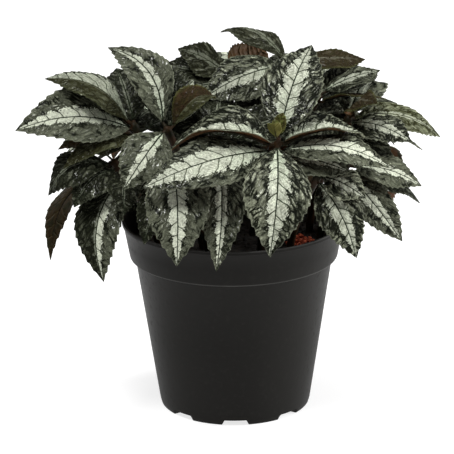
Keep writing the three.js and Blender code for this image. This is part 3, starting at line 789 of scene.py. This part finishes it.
def add_blade(mesh, place, look, teeth, columns):
    points, maps = blade_sheet(place, teeth, columns)
    length, width = points.shape[:2]
    made = bmesh.ops.create_grid(mesh, x_segments=width - 1, y_segments=length - 1, size=0.5)
    corners = made["verts"]
    for vertex in corners:
        column = round((vertex.co.x + 0.5) * (width - 1))
        row = round((vertex.co.y + 0.5) * (length - 1))
        half_look = look[int(vertex.co.x > 0)]
        vertex.co = points[row, column] * MM
        vertex[mesh.verts.layers.float_vector["leaf"]] = (*maps[row, column, :2], 0)
        vertex[mesh.verts.layers.float_vector["skin"]] = (*maps[row, column, 2:], 0)
        vertex[mesh.verts.layers.float_color["look"]] = half_look[:4]
        vertex[mesh.verts.layers.float["calm"]] = half_look[4]
    faces = list({face for vertex in corners for face in vertex.link_faces})
    bmesh.ops.recalc_face_normals(mesh, faces=faces)
    upward = sum((face.normal for face in faces), Vector()).dot(Vector(place["up"]))
    if upward < 0:
        bmesh.ops.reverse_faces(mesh, faces=faces)
    below = bmesh.ops.solidify(mesh, geom=faces, thickness=VISIBLE_THICKNESS * MM)
    for face in below["geom"]:
        if isinstance(face, bmesh.types.BMFace):
            face.material_index = 1
    return len(faces)


print("rows along a large leaf:", len(tooth_rows(TEETH)[0]))

# %% [markdown]
# ## Round stalks and stems
# A stalk is a ring of points carried along a path. Extruding the ring's edges and moving the new
# ring to the next place of the path makes a tube without working out any faces. The stalk goes on
# below the blade as its midrib, thinner and thinner.

# %% Tubes along a path
STALK_SIDES = 8
STEM_SIDES = 10


def ring_frame(path, k):
    ahead = Vector(unit(path[min(k + 1, len(path) - 1)] - path[max(k - 1, 0)]))
    turn = ahead.to_track_quat("Z", "Y").to_matrix().to_4x4()
    return Matrix.Translation(Vector(path[k]) * MM) @ turn


def add_tube(mesh, path, radii, sides, material):
    frames = [ring_frame(path, k) for k in range(len(path))]
    radius = radii[0] * MM
    ring = bmesh.ops.create_circle(mesh, cap_ends=True, segments=sides, radius=radius)["verts"]
    start = list({face for vertex in ring for face in vertex.link_faces})
    bmesh.ops.transform(mesh, matrix=frames[0], verts=ring)
    faces = set(start)
    edges = list({edge for vertex in ring for edge in vertex.link_edges})
    for k in range(1, len(path)):
        made = bmesh.ops.extrude_edge_only(mesh, edges=edges)["geom"]
        ring = [item for item in made if isinstance(item, bmesh.types.BMVert)]
        edges = [edge for edge in made if isinstance(edge, bmesh.types.BMEdge) and
                 all(vertex in ring for vertex in edge.verts)]
        faces |= {face for vertex in ring for face in vertex.link_faces}
        step = Matrix.Diagonal((radii[k] / radii[k - 1],) * 3).to_4x4()
        bmesh.ops.transform(mesh, matrix=frames[k] @ step @ frames[k - 1].inverted(), verts=ring)
    faces |= set(bmesh.ops.holes_fill(mesh, edges=edges, sides=0)["faces"])
    bmesh.ops.recalc_face_normals(mesh, faces=list(faces))
    for face in faces:
        face.material_index = material
        face.smooth = True
    return len(faces)


def add_stalk(mesh, place):
    small = fullness(place)
    u = np.linspace(0, 0.88, 12)
    rib, normals = blade_points(place, u, 0 * u)
    radii = small * (STALK_RADIUS * 0.75 * (1 - u) ** 1.5 + 0.12)
    rib = rib - normals * (radii + CHANNEL_DEPTH + 0.1)[:, None]
    bend = 0.5 * (place["root"] + place["base"]) - [0, 0, 0.4]
    path = np.vstack([place["root"], bend, rib])
    radii = np.concatenate([[1.35 * small, 1.15 * small], radii])
    return add_tube(mesh, path, radii, STALK_SIDES, 2)


def add_stem(mesh, curve, places):
    shares = np.linspace(0, 1, 26)
    path = [curve(share) for share in shares]
    knots = [place["at"] for place in places]
    radii = []
    for share in shares:
        swell = max((math.exp(-(((share - knot) / 0.02) ** 2)) for knot in knots), default=0)
        radii.append(STEM_RADIUS * (0.96 + 0.1 * swell * (share > 0.3)))
    ahead = unit(path[-1] - path[-2])
    path += [path[-1] + ahead * 1.0, path[-1] + ahead * 1.9]
    radii += [STEM_RADIUS * 0.8, STEM_RADIUS * 0.35]
    return add_tube(mesh, path, radii, STEM_SIDES, 2)


print("tubes ready")

# %% [markdown]
# ## The leafy stems
# Every stem becomes one piece: its tube, its stalks and its blades. The two maps are written to
# the corners of the faces once the mesh is whole. Leaves without a look of their own draw one.

# %% The leafy stems
MAPS = ("leaf", "skin")
LOOK_SEED = 700
# some drawn leaves take the darker look that carries painted shade
DRAWN_LOOKS = ("banded", "banded", "bright", "narrow", "dull", "dark")


def leaf_look(place, draw):
    name = place["look"] or DRAWN_LOOKS[int(next(draw) * len(DRAWN_LOOKS))]
    halves = name.split("+")
    wider, brighter, lighter = [0.88 + 0.24 * next(draw) for _ in range(3)]
    looks = [LOOKS[halves[0]], LOOKS[halves[-1]]]
    scale = np.array((wider, brighter, lighter, 1, 1))
    return [tuple(look * scale) for look in looks]


def finish_object(name, mesh, materials):
    data = bpy.data.meshes.new(name)
    mesh.to_mesh(data)
    mesh.free()
    for finish in materials:
        data.materials.append(finish.material)
    piece = bpy.data.objects.new(name, data)
    bpy.context.scene.collection.objects.link(piece)
    return piece


def shade_smooth(mesh):
    for face in mesh.faces:
        face.smooth = True


def write_maps(mesh):
    for name in MAPS:
        held, written = mesh.verts.layers.float_vector[name], mesh.loops.layers.uv.new(name)
        for face in mesh.faces:
            for loop in face.loops:
                loop[written].uv = loop.vert[held].xy
        mesh.verts.layers.float_vector.remove(held)


def leafy_stem(name, curve, places, number):
    mesh = bmesh.new()
    for layer in MAPS:
        mesh.verts.layers.float_vector.new(layer)
    mesh.verts.layers.float_color.new("look")
    mesh.verts.layers.float.new("calm")
    draw = draws_from(LOOK_SEED + number)
    for place in places:
        look = leaf_look(place, draw)
        small = place["width"] < SMALL_LEAF_WIDTH
        teeth, columns = (SMALL_TEETH, SMALL_COLUMNS) if small else (TEETH, COLUMNS)
        add_blade(mesh, place, look, teeth, columns)
    shade_smooth(mesh)
    for place in places:
        add_stalk(mesh, place)
    add_stem(mesh, curve, places)
    write_maps(mesh)
    piece = finish_object("grown_stem_" + name, mesh, (leaf_top, leaf_under, stalk_skin))
    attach(piece, "root")
    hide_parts("leafy_stem_" + name)
    "leafy_stem_" + name
    return piece


for number, (name, curve, places) in enumerate(stems):
    piece = leafy_stem(name, curve, places, number)
    print(piece.name, "faces:", len(piece.data.polygons))

# %% [markdown]
# ## The pot
# A nursery pot is moulded in thin black plastic: a rounded lip, a band that steps in to the body,
# and a foot ring with notches that let water out. It could be built from cylinders, but its wall is
# one outline turned about the axis, so spinning the outline gives true circles and round edges in
# one step. The notches are cut by raising the points of the foot that lie inside them, with the
# points at their ends drawn together. The drain holes take faces out of the floor, above and
# below, and a bridge joins the two open rings.

# %% The pot's outline, spun
POT_SIDES = 192
POT_HEIGHT = 104
RIM_RADIUS = 60
BAND_BOTTOM = 84
BASE_RADIUS = 40.5
BODY_TOP_RADIUS = 53.2
WALL = 1.3
FLOOR = 3
FLOOR_TOP = 4.3
FOOT_INSIDE = 35.6
NOTCHES = 8
NOTCH_WIDTH = 11.5
NOTCH_LEAN = 0.004
DRAIN_RADIUS = 4
DRAIN_CIRCLE = 30
DRAIN_RINGS = (34.5, 33, 31.5, 30, 28.5, 27, 25.5)


def body_radius(z):
    return BASE_RADIUS + (BODY_TOP_RADIUS - BASE_RADIUS) * z / BAND_BOTTOM


POT_OUTLINE = (
    (35.9, 0), (36.1, 0), (39.3, 0), (39.9, 0.15), (40.3, 0.55), (40.5, 1.2),
    *((body_radius(z), z) for z in (2.4, FLOOR, 8, 45, 82.6)),
    (53.4, 83.1), (54.0, 83.5), (55.3, 83.7), (55.9, 84.1), (56.15, 84.9), (57.6, 93),
    (59.2, 101.6), (59.5, 101.9), (59.9, 102.1), (RIM_RADIUS, 102.6), (RIM_RADIUS, 103.4),
    (59.8, 103.8), (59.3, POT_HEIGHT), (58.7, 103.9), (58.3, 103.5), (57.9, 101), (56.2, 93),
    (54.7, 86), (51.9, 83), *((body_radius(z) - WALL, z) for z in (45, 6)), (39.2, 4.6),
    (37.5, FLOOR_TOP), *((ring, FLOOR_TOP) for ring in DRAIN_RINGS), (0, FLOOR_TOP),
    (0, FLOOR), *((ring, FLOOR) for ring in reversed(DRAIN_RINGS)), (35.4, FLOOR),
    (35.8, 2.8), (35.9, 2.4),
)


def spun(outline, sides):
    mesh = bmesh.new()
    vertices = [mesh.verts.new((radius * MM, 0, z * MM)) for radius, z in outline]
    for first, second in zip(vertices, vertices[1:] + vertices[:1]):
        mesh.edges.new((first, second))
    geometry = mesh.verts[:] + mesh.edges[:]
    bmesh.ops.spin(mesh, geom=geometry, cent=(0, 0, 0), axis=(0, 0, 1), angle=2 * math.pi,
                   steps=sides, use_merge=True)
    bmesh.ops.remove_doubles(mesh, verts=mesh.verts, dist=1e-6)
    bmesh.ops.recalc_face_normals(mesh, faces=mesh.faces)
    return mesh


def cut_notches(mesh):
    pitch = 2 * math.pi / NOTCHES
    raised = 0
    for vertex in mesh.verts:
        reach = vertex.co.xy.length
        if vertex.co.z > (FLOOR + 0.1) * MM or reach < FOOT_INSIDE * MM:
            continue
        turn = math.atan2(vertex.co.y, vertex.co.x) + math.pi / 2
        offset = (turn + pitch / 2) % pitch - pitch / 2
        half = 0.5 * NOTCH_WIDTH / BASE_RADIUS
        step = 2 * math.pi / POT_SIDES
        if abs(offset) < half:
            vertex.co.z = (FLOOR - 0.02) * MM
            raised += 1
            if abs(offset) > half - step:
                pull = math.copysign(half - abs(offset), offset)
                vertex.co.xy = Matrix.Rotation(pull, 2) @ vertex.co.xy
        elif abs(offset) < half + step:
            pull = math.copysign(half + NOTCH_LEAN - abs(offset), offset)
            vertex.co.xy = Matrix.Rotation(pull, 2) @ vertex.co.xy
    return raised


def cut_drains(mesh):
    radius = DRAIN_RADIUS * MM
    for k in range(NOTCHES):
        centre = Matrix.Rotation(2 * math.pi * k / NOTCHES, 2) @ Vector((DRAIN_CIRCLE * MM, 0))
        middles = {face: face.calc_center_median() for face in mesh.faces}
        inside = [face for face, middle in middles.items()
                  if middle.z < (FLOOR_TOP + 0.1) * MM and (middle.xy - centre).length < radius]
        bmesh.ops.delete(mesh, geom=inside, context="FACES")
        edges = [edge for edge in mesh.edges if edge.is_boundary]
        for vertex in {vertex for edge in edges for vertex in edge.verts}:
            offset = vertex.co.xy - centre
            vertex.co.xy = centre + offset * radius / offset.length
        bmesh.ops.bridge_loops(mesh, edges=edges)
    bmesh.ops.recalc_face_normals(mesh, faces=mesh.faces)


pot_mesh = spun(POT_OUTLINE, POT_SIDES)
print("points raised in the notches:", cut_notches(pot_mesh))
cut_drains(pot_mesh)
print("open edges left in the pot:", sum(edge.is_boundary for edge in pot_mesh.edges))
shade_smooth(pot_mesh)

# %% [markdown]
# The plastic is nearly black, slightly warm, and satin: the light from all round slides along its
# sides. Very fine flow marks and a few dull spots keep it from looking like a computed surface.
# The lip and the band's step are painted a little paler, a painted highlight along those edges.

# %% The black plastic
# paler grey for the painted highlight on the lip and the band's step
EDGE_HIGHLIGHT_GREY = (0.07, 0.07, 0.066)
pot_plastic = Finish("black_plastic", (0.01, 0.01, 0.0095), 0.4)


def paint_plastic(finish):
    place = finish.node("ShaderNodeTexCoord", {}, {}, "Object")
    stretched = finish.node("ShaderNodeMapping", {}, {"Vector": place, "Scale": (1, 1, 0.15)})
    flow = finish.noise(stretched, 60.0, 3.0)
    dust = finish.noise(place, 350.0, 2.0).smooth(0.5, 0.8)
    black = finish.blend(dust * 0.5 + flow * 0.3, (0.011, 0.0105, 0.0095), (0.018, 0.0172, 0.0155))
    height = finish.node("ShaderNodeSeparateXYZ", {}, {"Vector": place}, "Z") / MM
    # painted highlight: the lip and the band's step are coloured paler, where light catches those
    # edges
    lip = height.smooth(103.2, 103.8)
    step = height.smooth(83.8, 84.0) * (1 - height.smooth(84.3, 84.7))
    finish.feed("Base Color", finish.blend((lip + step) * (0.3 + flow * 0.7), black, EDGE_HIGHLIGHT_GREY))
    finish.feed("Roughness", 0.4 + flow * 0.12 + dust * 0.12)
    finish.bump(flow * 0.5 + dust * 0.15, 0.0002)


paint_plastic(pot_plastic)
pot_plastic.shader.inputs["Specular IOR Level"].default_value = 0.06
nursery_pot = finish_object("nursery_pot", pot_mesh, (pot_plastic,))
sharp = nursery_pot.modifiers.new("crisp edges", "EDGE_SPLIT")
sharp.split_angle = math.radians(38)
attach(nursery_pot, "root")
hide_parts("pot")
print("pot faces:", len(nursery_pot.data.polygons))

# %% [markdown]
# ## The soil
# Potting soil is peat and fine bark: dark crumbs of every size. The bed is a round grid raised
# by noise, closed by a skirt that goes down inside the pot, and a few hundred low-faced crumbs
# lie on it.

# %% The soil's bed and crumbs
SOIL_RADIUS = 54.0
SOIL_RINGS = 34
SOIL_SIDES = 96
CRUMBS = 420
CRUMB_REACH = 52.5
CRUMB_SEED = 41
soil_skin = Finish("peat", (0.02, 0.014, 0.01), 0.9)


def paint_soil(finish):
    place = finish.node("ShaderNodeTexCoord", {}, {}, "Object")
    crumbs = finish.noise(place, 420.0, 4.0)
    peat = finish.blend(crumbs.smooth(0.4, 0.75), (0.006, 0.005, 0.0035), (0.03, 0.021, 0.014))
    finish.feed("Base Color", peat)
    finish.bump(crumbs, 0.0015)


paint_soil(soil_skin)


def soil_height(x, y):
    lump = noise.fractal(Vector((x * 0.09, y * 0.09, 0)), 0.9, 2.1, 5)
    return SOIL_TOP + 0.1 + 1.4 * lump


def soil_bed():
    outline = [(0, 6), (39.0, 6), (52.6, 82), (SOIL_RADIUS, 87)]
    rings = [(SOIL_RADIUS * (1 - k / SOIL_RINGS), SOIL_TOP) for k in range(SOIL_RINGS + 1)]
    mesh = spun(tuple(outline + rings), SOIL_SIDES)
    for vertex in mesh.verts:
        if vertex.co.z > 90 * MM:
            vertex.co.z = soil_height(vertex.co.x / MM, vertex.co.y / MM) * MM
        elif vertex.co.z > 5 * MM and vertex.co.xy.length > 1e-5:
            reach = vertex.co.xy.length
            vertex.co.xy *= (reach - 0.4 * MM) / reach
    return mesh


def add_crumb(mesh, centre, size, draw):
    made = bmesh.ops.create_icosphere(mesh, subdivisions=1, radius=size * MM)["verts"]
    for vertex in made:
        vertex.co *= 0.7 + 0.6 * next(draw)
    shape = Matrix.Diagonal((1.2, 0.9, 0.75)).to_4x4()
    turn = Euler([6.28 * next(draw) for _ in range(3)]).to_matrix().to_4x4()
    placed = Matrix.Translation(Vector(centre) * MM) @ turn @ shape
    bmesh.ops.transform(mesh, matrix=placed, verts=made)


soil_mesh = soil_bed()
draw = draws_from(CRUMB_SEED)
for _ in range(CRUMBS):
    turn, reach = 2 * math.pi * next(draw), CRUMB_REACH * math.sqrt(next(draw))
    x, y = reach * math.cos(turn), reach * math.sin(turn)
    size = 0.5 + 1.3 * next(draw) ** 3
    add_crumb(soil_mesh, (x, y, soil_height(x, y) + 0.3 * size), size, draw)
shade_smooth(soil_mesh)
soil_piece = finish_object("peat_bed", soil_mesh, (soil_skin,))
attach(soil_piece, "root")
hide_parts("potting_soil")
print("soil faces:", len(soil_piece.data.polygons))

# %% [markdown]
# ## The bark
# A pinch of rust-red bark lies pressed together at the front right: small angular chips.

# %% The bark
BARK_CENTRE = (36, -12.5)
BARK_CHIPS = 70
BARK_REACH = 8.6
BARK_HEAP = 4.5
BARK_SEED = 57
bark_skin = Finish("rust_bark", (0.35, 0.05, 0.02), 0.8)


def paint_bark(finish):
    place = finish.node("ShaderNodeTexCoord", {}, {}, "Object")
    grain = finish.noise(place, 500.0, 3.0)
    chips = finish.blend(grain.smooth(0.3, 0.7), (0.16, 0.018, 0.008), (0.62, 0.13, 0.05))
    finish.feed("Base Color", chips)
    finish.bump(grain, 0.0008)


paint_bark(bark_skin)
bark_mesh = bmesh.new()
draw = draws_from(BARK_SEED)
for k in range(BARK_CHIPS):
    share = (k + 0.5) / BARK_CHIPS
    turn, reach = 2.4 * k, BARK_REACH * math.sqrt(share)
    x = BARK_CENTRE[0] + reach * math.cos(turn)
    y = BARK_CENTRE[1] + reach * math.sin(turn)
    heap = BARK_HEAP * (1 - share) * next(draw)
    add_crumb(bark_mesh, (x, y, SOIL_TOP + 0.8 + heap), 0.7 + 0.9 * next(draw), draw)
bark_piece = finish_object("bark_clump", bark_mesh, (bark_skin,))
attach(bark_piece, "root")
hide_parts("bark_chips")
print("bark faces:", len(bark_piece.data.polygons))

# %% [markdown]
# ## Floor and light
# The plant stands on a white light table, which glows faintly, so its shadow nearly vanishes. The
# key light comes from the upper left and draws the quilting. A broad panel above fills the tops of
# the leaves, and a small one at the right puts a sheen on the side of the pot. The walls of the
# tent give little light, so the hollows under the leaves stay dark.

# %% Floor and light
floor_skin = Finish("white_table", (0.4, 0.4, 0.4), 0.9)
floor_skin.shader.inputs["Emission Color"].default_value = (1, 1, 1, 1)
floor_skin.shader.inputs["Emission Strength"].default_value = 0.76
floor_mesh = bmesh.new()
bmesh.ops.create_circle(floor_mesh, cap_ends=True, segments=64, radius=9)
floor = finish_object("floor", floor_mesh, (floor_skin,))


def add_panel(name, place, aim, size, watts):
    light = bpy.data.lights.new(name, "AREA")
    light.shape = "SQUARE"
    light.size = size
    light.energy = watts
    panel = bpy.data.objects.new(name, light)
    panel.location = place
    panel.rotation_euler = (Vector(place) - Vector(aim)).to_track_quat("Z", "Y").to_euler()
    bpy.context.scene.collection.objects.link(panel)


add_panel("panel_above", (0.0, 0.1, 1.8), (0, 0, 0.12), 1.6, 24)
add_panel("panel_left", (-0.5, -0.75, 1.8), (0, 0, 0.12), 0.5, 27)
add_panel("panel_right", (1.3, 0.1, 0.5), (0, 0, 0.1), 0.5, 21)
world = bpy.data.worlds.new("white_tent")
world.use_nodes = True
background = world.node_tree.nodes["Background"]
background.inputs["Color"].default_value = (1, 1, 1, 1)
background.inputs["Strength"].default_value = 0.12
bpy.context.scene.world = world
bpy.context.scene.view_settings.view_transform = "Standard"
print("lights:", len(bpy.data.lights))
